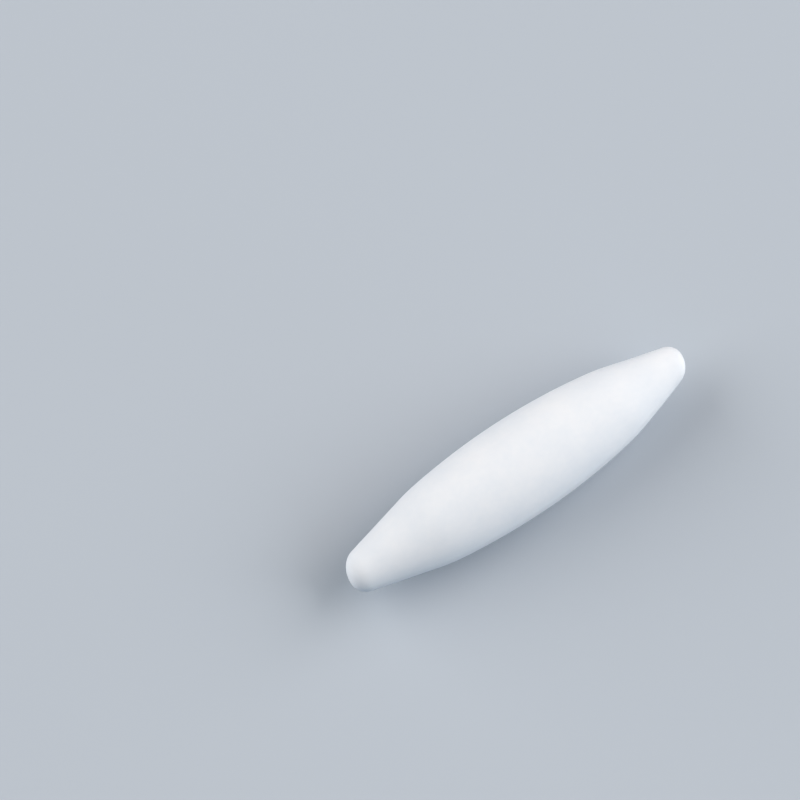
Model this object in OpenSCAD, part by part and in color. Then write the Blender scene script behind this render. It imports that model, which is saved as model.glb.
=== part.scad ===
// Oval magnetic stir bar: a bar magnet sealed inside a moulded PTFE jacket.
// Millimetres. The bar lies along X with its middle at the origin, and +Z is up.
// The jacket is a body of revolution: a long, gently curved belly, a soft shoulder on
// each side of it, two straight tapers, and small rounded tips with a tiny flat.
// Section points are written as [radius, station], where station runs along the axis.

/* [Jacket] */
// Overall length from tip to tip
bar_length = 80; // [60:1:120]
// Diameter across the middle of the belly
belly_diameter = 19.5; // [16:0.5:25]
// Angle that the belly has turned through where it would meet the taper
belly_turn = 9.5; // [5:0.5:12.5]
// Angle between the axis and the side of a tapered end
taper_angle = 15; // [13:0.5:25]
// Radius that blends the belly into each taper
shoulder_radius = 40; // [10:5:100]
// Radius that rounds the rim of each tip
nose_radius = 3.8; // [1:0.1:5]
// Diameter of the small flat on each tip
tip_flat_diameter = 0.8; // [0.4:0.1:4]

/* [Magnet] */
// Diameter of the magnet
magnet_diameter = 10; // [6:0.5:12]
// Solid jacket between the magnet and each tip
end_cover = 15; // [13:0.5:25]
// Chamfer round both ends of the magnet
magnet_chamfer = 0.5; // [0.1:0.1:1.5]
// Gap between the magnet and the jacket that was moulded round it
magnet_gap = 0.05; // [0.02:0.01:0.2]

/* [Hidden] */
$fn = 128;
// Steps round a whole circle for the section's arcs, which are short stretches of wide circles
arc_fn = 360;

// Share of the flattest arc with room for it that the shoulder may have, so that some of the
// belly and some of the straight taper are left
shoulder_share = 0.9;
// How far a rounding circle stands proud of the sides that it blends, so that it crosses them
// cleanly and doesn't only touch them
proud = 0.002;
// How far a window that waste is cut from stands outside the jacket
outside = 1;

tip_station = bar_length / 2;
belly_radius = belly_diameter / 2;
tip_flat_radius = tip_flat_diameter / 2;

// Where the straight side of the taper would reach the plane of the tip, and the middle plane
taper_at_tip = tip_flat_radius + nose_radius * (1 / cos(taper_angle) - tan(taper_angle));
taper_at_middle = taper_at_tip + tip_station * tan(taper_angle);

// Where that side would meet the belly's arc in a sharp corner
corner_station = (taper_at_middle - belly_radius) / (tan(taper_angle) - tan(belly_turn / 2));
belly_arc = corner_station / sin(belly_turn);
belly_centre = [belly_radius - belly_arc, 0];

// Unit vectors square to the taper's side, outwards, and along it towards the tip
taper_out = [cos(taper_angle), sin(taper_angle)];
taper_along = [-sin(taper_angle), cos(taper_angle)];

// The nose's circle touches the tip's plane at the rim of the flat, and the taper at nose_start
nose_centre = [tip_flat_radius, tip_station - nose_radius];
nose_start = nose_centre + nose_radius * taper_out;

// How far the line of the taper's side lies from the belly's centre, and how far past its
// nearest point to that centre the nose starts
taper_depth = (nose_start - belly_centre) * taper_out;
nose_along = (nose_start - belly_centre) * taper_along;

// The flattest arcs that could blend the belly into the taper: one would start at the middle
// of the bar, and the other would end where the nose starts, or at that nearest point where
// it comes first
arc_from_middle = (taper_at_middle - belly_radius) * cos(taper_angle) / (1 - cos(taper_angle));
arc_to_nose = (belly_arc + taper_depth - pow(min(nose_along, 0), 2) / (belly_arc - taper_depth)) / 2;

// The shoulder's circle lies inside the belly's circle and touches it at shoulder_start,
// and touches the taper's side at shoulder_end
shoulder_arc = min(shoulder_radius, shoulder_share * min(arc_from_middle, arc_to_nose));
shoulder_depth = taper_depth - shoulder_arc;
shoulder_back = sqrt(pow(belly_arc - shoulder_arc, 2) - pow(shoulder_depth, 2));
shoulder_centre = belly_centre + shoulder_depth * taper_out - shoulder_back * taper_along;
shoulder_start = belly_centre
    + (shoulder_centre - belly_centre) * belly_arc / norm(shoulder_centre - belly_centre);
shoulder_end = shoulder_centre + shoulder_arc * taper_out;

magnet_length = bar_length - 2 * end_cover;

// What an arc takes off the section: all of a window that lies outside the arc's circle
module arc_waste(centre, radius, from, to) {
    difference() {
        translate(from) square(to - from);
        translate(centre) circle(r = radius, $fn = arc_fn);
    }
}

// The two tapers, which would meet in a sharp ridge round the middle
module tapers() {
    polygon([
        [0, -tip_station], [taper_at_tip, -tip_station], [taper_at_middle, 0],
        [taper_at_tip, tip_station], [0, tip_station]
    ]);
}

// The waste round the belly, from one shoulder to the other
module belly_waste() {
    far = [taper_at_middle + outside, shoulder_end.y];
    arc_waste(belly_centre, belly_arc, [0, -shoulder_end.y], far);
}

// The waste at one end of the section: at the shoulder, and at the rim of the tip
module end_waste() {
    rim = belly_radius + outside;
    top = tip_station + outside;
    arc_waste(shoulder_centre, shoulder_arc + proud, [0, shoulder_start.y], [rim, shoulder_end.y]);
    arc_waste(nose_centre, nose_radius + proud, [tip_flat_radius, nose_start.y], [rim, top]);
}

// Half the jacket's lengthwise section, from the axis outwards
module jacket_section() {
    difference() {
        tapers();
        belly_waste();
        end_waste();
        mirror([0, 1]) end_waste();
    }
}

// A round rod along X with chamfered ends
module rod(radius, length, chamfer) {
    end = length / 2;
    rotate([0, 90, 0])
        rotate_extrude()
            polygon([
                [0, -end], [radius - chamfer, -end], [radius, chamfer - end],
                [radius, end - chamfer], [radius - chamfer, end], [0, end]
            ]);
}

// The white jacket, seamless outside, with the magnet's sealed cavity inside it
module ptfe_jacket() {
    color("white")
        difference() {
            rotate([0, 90, 0]) rotate_extrude() jacket_section();
            rod(magnet_diameter / 2 + magnet_gap, magnet_length + 2 * magnet_gap, magnet_chamfer);
        }
}

// The cast magnet, ground round, with both end rims chamfered
module bar_magnet() {
    color("dimgray") rod(magnet_diameter / 2, magnet_length, magnet_chamfer);
}

ptfe_jacket();
bar_magnet();
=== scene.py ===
"""Dress an oval magnetic stir bar: a seamless PTFE jacket with a bar magnet sealed inside it.

Everything is in metres, in the frame of the CAD: the bar lies along X with its middle at the
origin, +Z is up, and the bar rests on a plain floor that its belly touches.
"""
import logging
import math
from dataclasses import dataclass
from enum import Enum
from typing import Any

import bpy
import numpy as np
import numpy.typing as npt
from mathutils import Matrix, Vector


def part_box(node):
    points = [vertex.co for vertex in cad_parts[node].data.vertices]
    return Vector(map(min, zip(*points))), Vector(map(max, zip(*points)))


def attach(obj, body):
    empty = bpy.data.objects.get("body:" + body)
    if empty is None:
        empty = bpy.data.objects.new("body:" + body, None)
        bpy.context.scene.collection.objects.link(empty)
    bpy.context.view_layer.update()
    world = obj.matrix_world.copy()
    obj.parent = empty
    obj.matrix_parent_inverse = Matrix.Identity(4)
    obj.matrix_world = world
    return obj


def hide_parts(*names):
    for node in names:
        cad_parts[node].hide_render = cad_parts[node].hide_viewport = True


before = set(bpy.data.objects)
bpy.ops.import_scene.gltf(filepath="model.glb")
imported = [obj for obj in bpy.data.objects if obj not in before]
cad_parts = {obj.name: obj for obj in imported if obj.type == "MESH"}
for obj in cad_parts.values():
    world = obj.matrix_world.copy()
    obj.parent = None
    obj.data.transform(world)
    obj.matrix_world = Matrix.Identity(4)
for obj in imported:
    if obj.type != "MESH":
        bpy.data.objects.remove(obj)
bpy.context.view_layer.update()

Floats = npt.NDArray[np.float64]
Whole = npt.NDArray[np.int32]

log = logging.getLogger("stir_bar")

MM = 0.001
MICRON = 0.000001


class Facing(Enum):
    """Which way the faces of a turned skin look."""

    OUTWARDS = "away from the axis"
    INWARDS = "towards the axis"


# ---------------------------------------------------------------- surfaces


@dataclass(frozen=True)
class Surface:
    """The points and faces of a skin, before they go into a mesh.

    Attributes:
        points: One row of x, y and z for each point.
        quads: One row of four point numbers for each four-sided face.
        triangles: One row of three point numbers for each three-sided face.
    """

    points: Floats
    quads: Whole
    triangles: Whole

    def joined(self, other: "Surface") -> "Surface":
        """Put another skin's points and faces after this one's.

        Args:
            other: The skin to add.

        Returns:
            A surface that holds both skins.
        """
        shift = len(self.points)
        return Surface(
            points=np.concatenate([self.points, other.points]),
            quads=np.concatenate([self.quads, other.quads + shift]),
            triangles=np.concatenate([self.triangles, other.triangles + shift]),
        )


def band_quads(count: int, around: int) -> Whole:
    """Join each ring of points to the next with four-sided faces.

    Point j of ring i has the number i * around + j. A face joins points (i, j), (i + 1, j),
    (i + 1, j + 1) and (i, j + 1), where the last j is followed by the first, so there is no seam.

    Args:
        count: How many rings.
        around: Points in each ring.

    Returns:
        One row of four point numbers for each face.
    """
    grid = np.arange(count * around, dtype=np.int32).reshape(count, around)
    after = np.roll(grid, -1, axis=1)
    return np.stack([grid[:-1], grid[1:], after[1:], after[:-1]], axis=-1).reshape(-1, 4)


def pole_fan(first: int, around: int, pole: int) -> Whole:
    """Join one ring of points to a pole, with a triangle for each point, the next and the pole.

    Args:
        first: The number of the ring's first point.
        around: Points in the ring.
        pole: The number of the pole.

    Returns:
        One row of three point numbers for each triangle.
    """
    ring = np.arange(first, first + around, dtype=np.int32)
    return np.stack([ring, np.roll(ring, -1), np.full_like(ring, pole)], axis=-1)


def turned_surface(rings: Floats, start: Floats, end: Floats, facing: Facing) -> Surface:
    """Close a stack of rings round the X axis into a skin with a pole at each end.

    The rings are joined by bands of four-sided faces, and the first and last of them to their
    poles by fans of triangles. The fan at the end is turned over, so that both look one way.

    Args:
        rings: Points on a grid of rings by steps round the axis, from low X to high X.
        start: The pole before the first ring.
        end: The pole after the last ring.
        facing: Which way the faces look.

    Returns:
        The closed skin.
    """
    count, around, _ = rings.shape
    total = count * around
    quads = band_quads(count, around)
    start_fan = pole_fan(0, around, total)
    end_fan = pole_fan(total - around, around, total + 1)
    triangles = np.concatenate([start_fan, end_fan[:, [1, 0, 2]]])
    if facing is Facing.OUTWARDS:
        quads = quads[:, ::-1]
        triangles = triangles[:, ::-1]
    points = np.concatenate([rings.reshape(-1, 3), start[None], end[None]])
    return Surface(points=points, quads=quads, triangles=triangles)


def rings_about_x(stations: Floats, radii: Floats, around: int) -> Floats:
    """Carry a profile round the X axis.

    The point at station x, radius r and angle a is (x, r cos a, r sin a).

    Args:
        stations: The X of each ring.
        radii: The radius of each ring, or a grid of radii by ring and angle.
        around: Steps round the axis.

    Returns:
        A grid of points, ring by angle.
    """
    angle = np.arange(around) * (2.0 * np.pi / around)
    radius = np.broadcast_to(radii.reshape(len(stations), -1), (len(stations), around))
    x = np.broadcast_to(stations[:, None], radius.shape)
    return np.stack([x, radius * np.cos(angle), radius * np.sin(angle)], axis=-1)


def arc_points(centre: Floats, radius: float, from_deg: float, to_deg: float, steps: int) -> Floats:
    """Points along an arc: centre + radius (cos a, sin a), with the angle a in equal steps.

    Args:
        centre: The arc's centre, as (radius, station).
        radius: The arc's radius.
        from_deg: The angle of the first point, from the radial direction towards the tip.
        to_deg: The angle of the last point.
        steps: How many points.

    Returns:
        One row of (radius, station) for each point.
    """
    angle = np.radians(np.linspace(from_deg, to_deg, steps))
    return centre + radius * np.stack([np.cos(angle), np.sin(angle)], axis=-1)


def rounded_corners(path: Floats, radius: float, steps: int) -> Floats:
    """Round every inner corner of a path with an arc that touches both of its sides.

    At a corner the two sides leave at half angle h from its bisector. The arc's centre lies
    radius / sin h along the bisector, and the arc runs between the directions that are square
    to the two sides, taken as a blend of the two that is scaled back to the radius.

    Args:
        path: One row of two numbers for each corner, ends included.
        radius: The radius of every arc.
        steps: Points along each arc.

    Returns:
        The path with each inner corner replaced by its arc.
    """
    corner = path[1:-1]
    back = path[:-2] - corner
    ahead = path[2:] - corner
    back = back / np.linalg.norm(back, axis=1, keepdims=True)
    ahead = ahead / np.linalg.norm(ahead, axis=1, keepdims=True)
    middle = back + ahead
    middle = middle / np.linalg.norm(middle, axis=1, keepdims=True)
    cosine = np.sum(back * middle, axis=1, keepdims=True)
    sine = np.sqrt(1.0 - cosine**2)
    centre = corner + middle * radius / sine
    touch_back = corner + back * radius * cosine / sine - centre
    touch_ahead = corner + ahead * radius * cosine / sine - centre
    blend = np.linspace(0.0, 1.0, steps)[None, :, None]
    spoke = touch_back[:, None] * (1.0 - blend) + touch_ahead[:, None] * blend
    spoke = spoke * radius / np.linalg.norm(spoke, axis=2, keepdims=True)
    arcs = (centre[:, None] + spoke).reshape(-1, 2)
    return np.concatenate([path[:1], arcs, path[-1:]])


def mesh_object(name: str, surface: Surface, material: bpy.types.Material) -> bpy.types.Object:
    """Put a surface into a smooth mesh object at the origin.

    Args:
        name: The object's name.
        surface: Its points and faces.
        material: Its finish.

    Returns:
        The object, linked to the scene.
    """
    mesh = bpy.data.meshes.new(name)
    face_points = np.concatenate([surface.quads.ravel(), surface.triangles.ravel()])
    quad_starts = np.arange(len(surface.quads)) * 4
    triangle_starts = surface.quads.size + np.arange(len(surface.triangles)) * 3
    starts = np.concatenate([quad_starts, triangle_starts])
    mesh.vertices.add(len(surface.points))
    mesh.vertices.foreach_set("co", surface.points.astype(np.float32).ravel())
    mesh.loops.add(len(face_points))
    mesh.loops.foreach_set("vertex_index", face_points.astype(np.int32))
    mesh.polygons.add(len(starts))
    mesh.polygons.foreach_set("loop_start", starts.astype(np.int32))
    mesh.update(calc_edges=True)
    mesh.validate()
    mesh.shade_smooth()
    mesh.materials.append(material)
    piece = bpy.data.objects.new(name, mesh)
    bpy.context.scene.collection.objects.link(piece)
    return piece


# ---------------------------------------------------------------- finishes


def linear(hex_colour: str) -> tuple[float, float, float, float]:
    """Turn an sRGB hex colour into linear red, green, blue and an alpha of 1.

    Args:
        hex_colour: A colour such as "#F3F4F6".

    Returns:
        The four linear values.
    """
    srgb = np.array([int(hex_colour[i : i + 2], 16) for i in (1, 3, 5)]) / 255.0
    value = np.where(srgb <= 0.04045, srgb / 12.92, ((srgb + 0.055) / 1.055) ** 2.4)
    return (float(value[0]), float(value[1]), float(value[2]), 1.0)


def add_node(
    tree: bpy.types.NodeTree,
    kind: str,
    inputs: dict[str | int, Any] | None = None,
    **settings: Any,
) -> bpy.types.Node:
    """Add a node with its settings, and give each input a value or a link.

    Args:
        tree: The node tree to add it to.
        kind: The node's type name.
        inputs: Each input's name or number, with the value or the output socket that feeds it.
        **settings: The node's own properties.

    Returns:
        The new node.
    """
    node = tree.nodes.new(kind)
    for key, value in settings.items():
        setattr(node, key, value)
    for key, value in (inputs or {}).items():
        if isinstance(value, bpy.types.NodeSocket):
            tree.links.new(value, node.inputs[key])
        else:
            node.inputs[key].default_value = value
    return node


def new_material(name: str) -> tuple[bpy.types.Material, bpy.types.NodeTree]:
    """Make an empty node material.

    Args:
        name: The material's name.

    Returns:
        The material and its node tree.
    """
    material = bpy.data.materials.new(name)
    material.use_nodes = True
    material.node_tree.nodes.clear()
    return material, material.node_tree


@dataclass(frozen=True)
class MouldedPtfe:
    """PTFE powder pressed round the magnet, sintered, and tumbled smooth.

    To the eye it is a milky, slightly see-into white: light enters and spreads a millimetre or
    so, which softens every shade, and the waxy skin adds only a broad, weak sheen. Where the
    powder was packed a little denser the white is very slightly cooler and smoother.
    """

    white: str = "#F4F5F6"
    dense_white: str = "#EDF0F3"
    cloud_size: float = 9.0 * MM
    speckle_size: float = 1.1 * MM
    speckle_share: float = 0.35
    # The clouds and speckle add up to between about these two
    mottle_low: float = 0.45
    mottle_high: float = 0.90
    # Sintered grains are 0.02 to 0.05 mm across, too fine to show: drawn ten times coarser
    grain_size: float = 0.4 * MM
    grain_height: float = 3.0 * MICRON
    orange_peel_size: float = 3.2 * MM
    orange_peel_height: float = 9.0 * MICRON
    roughness_low: float = 0.54
    roughness_high: float = 0.66
    ior: float = 1.36
    # The sintered skin is rough at a scale below its grain, so little of its gloss is left
    gloss: float = 0.15
    scatter_share: float = 0.35
    scatter_depth: float = 1.4 * MM
    # Red, green and blue light spread alike
    scatter_balance: tuple[float, float, float] = (1.0, 1.0, 1.0)

    def material(self) -> bpy.types.Material:
        """Build the finish.

        Returns:
            The material.
        """
        material, tree = new_material("moulded_ptfe")
        place = add_node(tree, "ShaderNodeTexCoord").outputs["Object"]
        clouds = add_node(
            tree,
            "ShaderNodeTexNoise",
            {"Vector": place, "Scale": 1.0 / self.cloud_size, "Detail": 3.0, "Roughness": 0.55},
        )
        speckle = add_node(
            tree,
            "ShaderNodeTexNoise",
            {"Vector": place, "Scale": 1.0 / self.speckle_size, "Detail": 2.0, "Roughness": 0.6},
        )
        mottle = add_node(
            tree,
            "ShaderNodeMath",
            {0: speckle.outputs["Fac"], 1: self.speckle_share, 2: clouds.outputs["Fac"]},
            operation="MULTIPLY_ADD",
        )
        share = add_node(
            tree,
            "ShaderNodeMapRange",
            {
                "Value": mottle.outputs["Value"],
                "From Min": self.mottle_low,
                "From Max": self.mottle_high,
            },
        )
        colour = add_node(
            tree,
            "ShaderNodeMix",
            {0: share.outputs["Result"], 6: linear(self.white), 7: linear(self.dense_white)},
            data_type="RGBA",
        )
        roughness = add_node(
            tree,
            "ShaderNodeMapRange",
            {
                "Value": mottle.outputs["Value"],
                "From Min": self.mottle_low,
                "From Max": self.mottle_high,
                "To Min": self.roughness_high,
                "To Max": self.roughness_low,
            },
        )
        peel = add_node(
            tree,
            "ShaderNodeTexNoise",
            {"Vector": place, "Scale": 1.0 / self.orange_peel_size, "Detail": 1.0},
        )
        peel_bump = add_node(
            tree,
            "ShaderNodeBump",
            {"Height": peel.outputs["Fac"], "Distance": self.orange_peel_height, "Strength": 1.0},
        )
        grain = add_node(
            tree,
            "ShaderNodeTexNoise",
            {"Vector": place, "Scale": 1.0 / self.grain_size, "Detail": 2.0, "Roughness": 0.7},
        )
        grain_bump = add_node(
            tree,
            "ShaderNodeBump",
            {
                "Height": grain.outputs["Fac"],
                "Distance": self.grain_height,
                "Strength": 1.0,
                "Normal": peel_bump.outputs["Normal"],
            },
        )
        shader = add_node(
            tree,
            "ShaderNodeBsdfPrincipled",
            {
                "Base Color": colour.outputs[2],
                "Roughness": roughness.outputs["Result"],
                "IOR": self.ior,
                "Specular IOR Level": self.gloss,
                "Normal": grain_bump.outputs["Normal"],
                "Subsurface Weight": self.scatter_share,
                "Subsurface Radius": self.scatter_balance,
                "Subsurface Scale": self.scatter_depth,
            },
        )
        add_node(tree, "ShaderNodeOutputMaterial", {"Surface": shader.outputs["BSDF"]})
        return material


@dataclass(frozen=True)
class CastAlnico:
    """AlNiCo cast as a rod, ground round and cut to length.

    To the eye it is a warm mid-grey metal with a dull, brushed shine: the wheel leaves fine
    lines round the rod, and the coarse cast grain shows as faint darker and lighter patches.
    """

    metal: str = "#8F8C88"
    cast_grain: str = "#75726F"
    grain_size: float = 1.8 * MM
    # Wheel lines are 0.02 to 0.05 mm apart, too fine to show: drawn about four times coarser
    line_pitch: float = 0.15 * MM
    line_reach: float = 4.0 * MM
    line_height: float = 2.5 * MICRON
    # The noise that draws the lines lies between about these two
    lines_low: float = 0.3
    lines_high: float = 0.7
    roughness_low: float = 0.32
    roughness_high: float = 0.52

    def material(self) -> bpy.types.Material:
        """Build the finish.

        Returns:
            The material.
        """
        material, tree = new_material("cast_alnico")
        place = add_node(tree, "ShaderNodeTexCoord").outputs["Object"]
        grain = add_node(
            tree,
            "ShaderNodeTexVoronoi",
            {"Vector": place, "Scale": 1.0 / self.grain_size},
            feature="SMOOTH_F1",
        )
        colour = add_node(
            tree,
            "ShaderNodeMix",
            {0: grain.outputs["Distance"], 6: linear(self.cast_grain), 7: linear(self.metal)},
            data_type="RGBA",
        )
        along_and_round = add_node(
            tree,
            "ShaderNodeMapping",
            {
                "Vector": place,
                "Scale": (1.0 / self.line_pitch, 1.0 / self.line_reach, 1.0 / self.line_reach),
            },
        )
        lines = add_node(
            tree,
            "ShaderNodeTexNoise",
            {"Vector": along_and_round.outputs["Vector"], "Scale": 1.0, "Detail": 2.0},
        )
        roughness = add_node(
            tree,
            "ShaderNodeMapRange",
            {
                "Value": lines.outputs["Fac"],
                "From Min": self.lines_low,
                "From Max": self.lines_high,
                "To Min": self.roughness_low,
                "To Max": self.roughness_high,
            },
        )
        bump = add_node(
            tree,
            "ShaderNodeBump",
            {"Height": lines.outputs["Fac"], "Distance": self.line_height, "Strength": 1.0},
        )
        shader = add_node(
            tree,
            "ShaderNodeBsdfPrincipled",
            {
                "Base Color": colour.outputs[2],
                "Roughness": roughness.outputs["Result"],
                "Metallic": 1.0,
                "Normal": bump.outputs["Normal"],
            },
        )
        add_node(tree, "ShaderNodeOutputMaterial", {"Surface": shader.outputs["BSDF"]})
        return material


def seen_directly(tree: bpy.types.NodeTree) -> bpy.types.NodeSocket:
    """Tell what the camera sees, also in a gloss or through glass, from what only lights.

    Args:
        tree: The node tree of a floor or a world.

    Returns:
        A socket that is 1 for camera, glossy and transmission rays, and 0 for all others.
    """
    ray = add_node(tree, "ShaderNodeLightPath").outputs
    seen = ray["Is Camera Ray"]
    for other in ("Is Glossy Ray", "Is Transmission Ray"):
        either = add_node(tree, "ShaderNodeMath", {0: seen, 1: ray[other]}, operation="MAXIMUM")
        seen = either.outputs["Value"]
    return seen


@dataclass(frozen=True)
class MattBoard:
    """Matt card for the studio floor: a plain pale blue-grey with hardly any shine.

    The camera sees it pale, and the light that it throws back up at the bar is weaker and bluer.
    """

    pale: str = "#BDC4CB"
    thrown_back: str = "#6B849C"
    roughness: float = 0.9
    ior: float = 1.3

    def material(self) -> bpy.types.Material:
        """Build the finish.

        Returns:
            The material.
        """
        material, tree = new_material("matt_board")
        colour = add_node(
            tree,
            "ShaderNodeMix",
            {0: seen_directly(tree), 6: linear(self.thrown_back), 7: linear(self.pale)},
            data_type="RGBA",
        )
        shader = add_node(
            tree,
            "ShaderNodeBsdfPrincipled",
            {"Base Color": colour.outputs[2], "Roughness": self.roughness, "IOR": self.ior},
        )
        add_node(tree, "ShaderNodeOutputMaterial", {"Surface": shader.outputs["BSDF"]})
        return material


# ---------------------------------------------------------------- the bar's pieces


@dataclass(frozen=True)
class BarMagnet:
    """The magnet inside the jacket: a ground rod with a chamfer round each end.

    Attributes:
        half_length: Half the rod's length.
        radius: The rod's radius.
        chamfer: How far each chamfer reaches along the axis and inwards.
        edge_break: The radius that stoning left on every edge.
        around: Steps round the axis.
        edge_steps: Points along each rounded edge.
        side_rings: Rings along half the plain side, from an edge to the middle.
        face_shares: Where the rings on an end face lie, as shares of the face's radius.
    """

    half_length: float
    radius: float
    chamfer: float = 0.5 * MM
    edge_break: float = 0.08 * MM
    around: int = 128
    edge_steps: int = 6
    side_rings: int = 24
    face_shares: tuple[float, ...] = (0.35, 0.7, 0.98)

    def rod(self, grow: float, facing: Facing) -> Surface:
        """Turn the rod's outline round X, with its poles on the end faces.

        Args:
            grow: How far every face stands outside the rod, as the cavity's walls do.
            facing: Which way the faces look.

        Returns:
            The rod's skin.
        """
        end = self.half_length + grow
        radius = self.radius + grow
        half = np.array(
            [[end, 0.0], [end, radius - self.chamfer], [end - self.chamfer, radius], [0.0, radius]]
        )
        edge = rounded_corners(half, self.edge_break, self.edge_steps)
        shares = np.array(self.face_shares)
        face_rings = edge[1] * np.stack([np.ones_like(shares), shares], axis=-1)
        side = np.linspace(edge[-2, 0], 0.0, self.side_rings + 1)[1:]
        side = np.stack([side, np.full(len(side), radius)], axis=-1)
        outline = np.concatenate([face_rings, edge[1:-1], side])
        outline = np.concatenate([outline * [-1.0, 1.0], outline[-2::-1]])
        rings = rings_about_x(outline[:, 0], outline[:, 1], self.around)
        pole = np.array([end, 0.0, 0.0])
        return turned_surface(rings, -pole, pole, facing)

    def build(self, finish: CastAlnico) -> bpy.types.Object:
        """Make the magnet, in place of its plain solid.

        Args:
            finish: The magnet's finish.

        Returns:
            The piece.
        """
        piece = mesh_object("cast_magnet", self.rod(0.0, Facing.OUTWARDS), finish.material())
        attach(piece, "root")
        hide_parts("bar_magnet")
        return piece


@dataclass(frozen=True)
class JacketEnd:
    """One half of the jacket, from the middle of its belly to a tip.

    Its section is built as the CAD's is, in (radius, station): the belly's arc turns through
    belly_turn before it would meet the taper, the shoulder's arc touches both, and the nose's
    arc touches the taper and the small flat on the tip. Pressed and sintered ends never come
    out quite alike or quite true, so each has its own sizes, a slight bend and a tip that is
    a little out of square.

    Attributes:
        reach: From the middle to the tip.
        taper: Degrees between the axis and the taper's side.
        belly_turn: Degrees that the belly has turned where it would meet the taper.
        nose_radius: The radius that rounds the tip's rim.
        flat_radius: The radius of the flat on the tip.
        bend: How far the tip stands aside from the axis.
        tilt: How far the tip's face slopes back, as a share of the way across it.
        shoulder_radius: The radius that blends the belly into the taper.
        bend_start: How far from the middle the bend starts.
        tilt_start: How far from the middle the tip's tilt starts.
        belly_rings: Rings along half the belly.
        shoulder_rings: Rings along the shoulder.
        taper_rings: Rings along the taper.
        nose_rings: Rings round the tip's rim.
    """

    reach: float
    taper: float
    belly_turn: float
    nose_radius: float
    flat_radius: float
    bend: float
    tilt: float
    shoulder_radius: float = 40.0 * MM
    bend_start: float = 20.0 * MM
    tilt_start: float = 30.0 * MM
    belly_rings: int = 48
    shoulder_rings: int = 20
    taper_rings: int = 26
    nose_rings: int = 20

    def outline(self, belly_radius: float) -> Floats:
        """Work out the section from the middle to the rim of the tip's flat.

        Args:
            belly_radius: The radius at the middle.

        Returns:
            One row of (radius, station) for each ring, from the middle outwards.
        """
        turn = math.radians(self.belly_turn)
        lean = math.radians(self.taper)
        taper_out = np.array([math.cos(lean), math.sin(lean)])
        taper_along = np.array([-math.sin(lean), math.cos(lean)])
        taper_at_tip = self.flat_radius + self.nose_radius * (1.0 / math.cos(lean) - math.tan(lean))
        taper_at_middle = taper_at_tip + self.reach * math.tan(lean)
        corner = (taper_at_middle - belly_radius) / (math.tan(lean) - math.tan(turn / 2.0))
        belly_arc = corner / math.sin(turn)
        belly_centre = np.array([belly_radius - belly_arc, 0.0])
        nose_centre = np.array([self.flat_radius, self.reach - self.nose_radius])
        nose_start = nose_centre + self.nose_radius * taper_out
        depth = float((nose_start - belly_centre) @ taper_out) - self.shoulder_radius
        back = math.sqrt((belly_arc - self.shoulder_radius) ** 2 - depth**2)
        shoulder_centre = belly_centre + depth * taper_out - back * taper_along
        shoulder_end = shoulder_centre + self.shoulder_radius * taper_out
        meeting = math.degrees(math.atan2(*(shoulder_centre - belly_centre)[::-1]))
        belly = arc_points(belly_centre, belly_arc, 0.0, meeting, self.belly_rings)
        shoulder = arc_points(
            shoulder_centre, self.shoulder_radius, meeting, self.taper, self.shoulder_rings
        )
        share = np.linspace(0.0, 1.0, self.taper_rings)[:, None]
        taper = shoulder_end * (1.0 - share) + nose_start * share
        nose = arc_points(nose_centre, self.nose_radius, self.taper, 90.0, self.nose_rings)
        return np.concatenate([belly, shoulder[1:], taper[1:], nose[1:]])

    def settle(self, points: Floats, aside: Floats) -> Floats:
        """Bend this end aside and tilt its tip.

        A point moves along aside by bend times the square of its share of the way from
        bend_start to the tip, and towards the middle by tilt times its offset along aside times
        the square of its share of the way from tilt_start to the tip.

        Args:
            points: Points of this half, with the tip towards high X.
            aside: The unit vector, square to the axis, that the end bends along.

        Returns:
            The moved points.
        """
        station = points[..., :1]
        bent = np.clip((station - self.bend_start) / (self.reach - self.bend_start), 0.0, None)
        tilted = np.clip((station - self.tilt_start) / (self.reach - self.tilt_start), 0.0, None)
        offset = (points @ aside)[..., None]
        back = np.array([-1.0, 0.0, 0.0])
        return points + self.bend * bent**2 * aside + self.tilt * tilted**2 * offset * back


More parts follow.
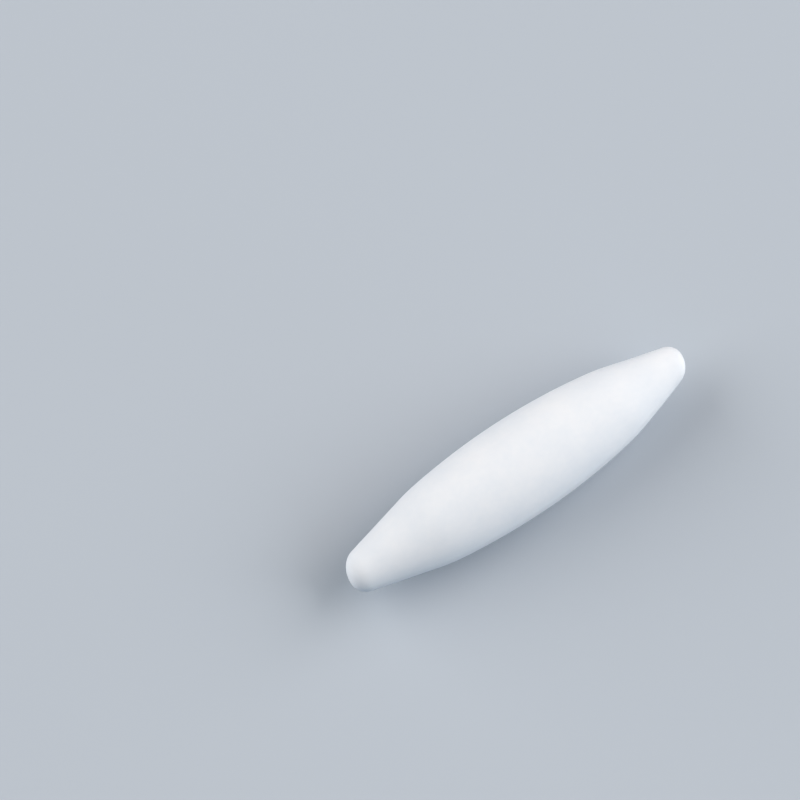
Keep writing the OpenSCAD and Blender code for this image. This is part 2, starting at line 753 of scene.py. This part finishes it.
@dataclass(frozen=True)
class Jacket:
    """The white jacket: a long gently curved belly, soft shoulders, straight tapers and tips.

    Attributes:
        belly_radius: The radius at the middle.
        far_end: The half at high X.
        near_end: The half at low X.
        aside: The unit vector that both ends bend along.
        gap: The gap between the magnet and the cavity's wall.
        around: Steps round the axis.
        hollow_depth: The deepest that the skin sinks where the jacket shrank as it cooled.
        wave_span: The length of axis that the hollows' waves are counted over.
        waves: For each wave, its turns round the axis, its turns along wave_span, and the
            angle in radians that it starts at.
    """

    belly_radius: float
    far_end: JacketEnd
    near_end: JacketEnd
    aside: tuple[float, float, float] = (0.0, 0.958, 0.286)
    gap: float = 0.05 * MM
    around: int = 192
    hollow_depth: float = 0.02 * MM
    wave_span: float = 80.0 * MM
    waves: tuple[tuple[float, float, float], ...] = (
        (2.0, 1.3, 0.4),
        (3.0, -2.1, 2.2),
        (5.0, 3.4, 4.0),
    )

    def half(self, end: JacketEnd, side: float) -> tuple[Floats, Floats]:
        """Carry one end's outline round the axis, with the faint hollows of its moulding.

        The radius at station x and angle a is the outline's radius, less hollow_depth times the
        outline's radius over the belly's, times a smooth pattern between 0 and 1. The pattern is
        half of 1 plus the mean of the waves, where each wave is the sine of an angle: its turns
        round the axis, plus its turns along it, plus the angle that it starts at.

        Args:
            end: The end to build.
            side: 1 for the half at high X, and -1 for the one at low X.

        Returns:
            The rings from the middle outwards, and the tip's pole.
        """
        radius, station = end.outline(self.belly_radius).T
        along = side * station[:, None] * (2.0 * np.pi / self.wave_span)
        angle = np.arange(self.around)[None] * (2.0 * np.pi / self.around)
        waves = [
            np.sin(turns * angle + climb * along + begin) for turns, climb, begin in self.waves
        ]
        pattern = 0.5 * (1.0 + np.mean(waves, axis=0))
        sunk = self.hollow_depth * pattern * (radius / self.belly_radius)[:, None]
        rings = rings_about_x(station, radius[:, None] - sunk, self.around)
        aside = np.array(self.aside)
        facing = np.array([side, 1.0, 1.0])
        pole = np.array([end.reach, 0.0, 0.0])
        return end.settle(rings, aside) * facing, end.settle(pole, aside) * facing

    def skin(self) -> Surface:
        """Join the two halves at the middle of the belly.

        Returns:
            The outer skin.
        """
        near_rings, near_pole = self.half(self.near_end, -1.0)
        far_rings, far_pole = self.half(self.far_end, 1.0)
        rings = np.concatenate([near_rings[::-1], far_rings[1:]])
        return turned_surface(rings, near_pole, far_pole, Facing.OUTWARDS)

    def build(self, magnet: BarMagnet, finish: MouldedPtfe) -> bpy.types.Object:
        """Make the jacket with the magnet's cavity in it, in place of its plain solid.

        Args:
            magnet: The magnet that the cavity's wall follows, and looks towards.
            finish: The jacket's finish.

        Returns:
            The piece.
        """
        cavity = magnet.rod(self.gap, Facing.INWARDS)
        piece = mesh_object("moulded_jacket", self.skin().joined(cavity), finish.material())
        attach(piece, "root")
        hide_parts("ptfe_jacket")
        return piece


# ---------------------------------------------------------------- the studio


@dataclass(frozen=True)
class Softbox:
    """A large round lamp that shines at the bar.

    Attributes:
        name: The lamp's name.
        towards: Where it stands from the bar, as (right, back, up) seen from the camera.
        distance: How far it stands from the bar.
        diameter: How wide it is.
        share: The light that it gives a surface that faces it, where 1 alone shows a colour as
            it is written.
        tint: The lamp's colour.
    """

    name: str
    towards: tuple[float, float, float]
    distance: float
    diameter: float
    share: float
    tint: str

    def build(self, turn: Matrix) -> bpy.types.Object:
        """Hang the lamp, which lights the bar but doesn't show to the camera.

        A round lamp of power P and radius r at distance d gives P / (pi (d^2 + r^2)) to a surface
        that faces it, and a white surface needs pi to look white, so the power is share times
        pi^2 times (d^2 + r^2).

        Args:
            turn: The turn from the camera's ground directions to the bar's frame.

        Returns:
            The lamp.
        """
        lamp = bpy.data.lights.new(self.name, "AREA")
        lamp.shape = "DISK"
        lamp.size = self.diameter
        lamp.energy = self.share * math.pi**2 * (self.distance**2 + (self.diameter / 2.0) ** 2)
        lamp.color = linear(self.tint)[:3]
        holder = bpy.data.objects.new(self.name, lamp)
        away = (turn @ Vector(self.towards)).normalized()
        facing_bar = away.to_track_quat("Z", "Y").to_matrix().to_4x4()
        holder.matrix_world = Matrix.Translation(away * self.distance) @ facing_bar
        holder.visible_camera = False
        bpy.context.scene.collection.objects.link(holder)
        return holder


@dataclass(frozen=True)
class Studio:
    """The floor, the light round the bar and the camera.

    Directions are those of someone at the camera, on the ground: right, back (away) and up.

    Attributes:
        floor_height: The height of the floor, where the belly rests.
        floor_radius: How far the floor reaches.
        floor_inner: The radius of the floor's first ring.
        floor_rings: Rings from there to the floor's edge.
        floor_around: Steps round each ring.
        camera_rise: Degrees that the camera stands above the floor.
        camera_distance: From the camera to the floor point in the middle of its view.
        bar_turn: Degrees from the camera's right to the bar's axis.
        bar_right: How far right of that floor point the bar's middle lies.
        bar_back: How far behind it the bar's middle lies.
        lens: The camera's focal length, in millimetres.
        sensor: The width of its sensor, in millimetres.
        nearest: The nearest that the camera sees.
        farthest: The farthest that it sees, past the floor's edge.
        sky: The colour of the light that comes from all round.
        sky_share: How much of a white surface's light comes from all round.
        backdrop: The colour that the camera sees past the floor's edge.
    """

    floor_height: float
    floor_radius: float = 40.0
    floor_inner: float = 20.0 * MM
    floor_rings: int = 24
    floor_around: int = 96
    camera_rise: float = 70.0
    camera_distance: float = 0.600
    bar_turn: float = 34.96
    bar_right: float = 23.07 * MM
    bar_back: float = -17.65 * MM
    lens: float = 135.1
    sensor: float = 36.0
    nearest: float = 10.0 * MM
    farthest: float = 50.0
    sky: str = "#E8ECFF"
    sky_share: float = 0.092
    backdrop: str = "#C2C9D0"

    def turn(self) -> Matrix:
        """The turn about Z from the camera's ground directions to the bar's frame."""
        return Matrix.Rotation(-math.radians(self.bar_turn), 3, "Z")

    def lay_floor(self, finish: MattBoard) -> bpy.types.Object:
        """Lay a round floor under the bar.

        The point at ring i and angle a is (r cos a, r sin a), where r grows by equal factors.

        Args:
            finish: The floor's finish.

        Returns:
            The floor.
        """
        count, around = self.floor_rings, self.floor_around
        radius = np.geomspace(self.floor_inner, self.floor_radius, count)[:, None]
        angle = np.arange(around)[None] * (2.0 * np.pi / around)
        height = np.full((count, around), self.floor_height)
        rings = np.stack([radius * np.cos(angle), radius * np.sin(angle), height], axis=-1)
        board = Surface(
            points=np.concatenate([rings.reshape(-1, 3), [[0.0, 0.0, self.floor_height]]]),
            quads=band_quads(count, around),
            triangles=pole_fan(0, around, count * around),
        )
        floor = mesh_object("studio_floor", board, finish.material())
        return floor

    def light_sky(self) -> bpy.types.World:
        """Light the scene evenly from all round, and show a pale backdrop past the floor.

        Returns:
            The world.
        """
        world = bpy.data.worlds.new("studio_sky")
        world.use_nodes = True
        tree = world.node_tree
        tree.nodes.clear()
        light = add_node(
            tree, "ShaderNodeBackground", {"Color": linear(self.sky), "Strength": self.sky_share}
        )
        backdrop = add_node(
            tree, "ShaderNodeBackground", {"Color": linear(self.backdrop), "Strength": 1.0}
        )
        mix = add_node(
            tree,
            "ShaderNodeMixShader",
            {
                0: seen_directly(tree),
                1: light.outputs["Background"],
                2: backdrop.outputs["Background"],
            },
        )
        add_node(tree, "ShaderNodeOutputWorld", {"Surface": mix.outputs["Shader"]})
        bpy.context.scene.world = world
        return world

    def place_camera(self) -> bpy.types.Object:
        """Stand the camera over the floor and make it the scene's.

        Returns:
            The camera.
        """
        rise = math.radians(self.camera_rise)
        away = Vector((0.0, -math.cos(rise), math.sin(rise)))
        bar = Vector((self.bar_right, self.bar_back, -self.floor_height))
        right = Vector((1.0, 0.0, 0.0))
        axes = Matrix((right, away.cross(right), away)).transposed()
        data = bpy.data.cameras.new("studio_camera")
        data.lens = self.lens
        data.sensor_width = self.sensor
        data.clip_start = self.nearest
        data.clip_end = self.farthest
        camera = bpy.data.objects.new("studio_camera", data)
        place = self.turn() @ (away * self.camera_distance - bar)
        camera.matrix_world = Matrix.Translation(place) @ (self.turn() @ axes).to_4x4()
        bpy.context.scene.collection.objects.link(camera)
        bpy.context.scene.camera = camera
        return camera


# ---------------------------------------------------------------- the scene


def main() -> None:
    logging.basicConfig(level=logging.INFO, format="%(name)s: %(message)s")
    scene = bpy.context.scene
    scene.view_settings.view_transform = "Standard"

    jacket_low, jacket_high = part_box("ptfe_jacket")
    _, magnet_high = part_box("bar_magnet")
    magnet = BarMagnet(half_length=magnet_high.x, radius=magnet_high.z)
    jacket = Jacket(
        belly_radius=-jacket_low.z,
        far_end=JacketEnd(
            reach=jacket_high.x - 0.06 * MM,
            taper=15.8,
            belly_turn=10.5,
            nose_radius=3.8 * MM,
            flat_radius=0.15 * MM,
            bend=0.29 * MM,
            tilt=-0.14,
        ),
        near_end=JacketEnd(
            reach=jacket_high.x - 0.16 * MM,
            taper=14.1,
            belly_turn=8.6,
            nose_radius=4.0 * MM,
            flat_radius=0.4 * MM,
            bend=0.36 * MM,
            tilt=0.17,
        ),
    )

    piece = magnet.build(CastAlnico())
    log.info("%s: %d faces", piece.name, len(piece.data.polygons))
    piece = jacket.build(magnet, MouldedPtfe())
    log.info("%s: %d faces", piece.name, len(piece.data.polygons))

    studio = Studio(floor_height=jacket_low.z)
    floor = studio.lay_floor(MattBoard())
    log.info("%s: laid at %.4f m", floor.name, studio.floor_height)
    softboxes = (
        Softbox(
            name="left_softbox",
            towards=(-0.893, 0.157, 0.423),
            distance=6.0,
            diameter=8.0,
            share=0.8308,
            tint="#FFFFFF",
        ),
        Softbox(
            name="right_softbox",
            towards=(0.791, 0.212, 0.574),
            distance=6.0,
            diameter=7.0,
            share=0.8356,
            tint="#FFFBFA",
        ),
        Softbox(
            name="front_softbox",
            towards=(0.785, -0.453, 0.423),
            distance=6.0,
            diameter=6.0,
            share=0.2416,
            tint="#E7F7FF",
        ),
    )
    for softbox in softboxes:
        lamp = softbox.build(studio.turn())
        log.info("%s: hung at %.1f m", lamp.name, softbox.distance)
    log.info("%s: lit", studio.light_sky().name)
    log.info("%s: set up", studio.place_camera().name)


if __name__ == "__main__":
    main()
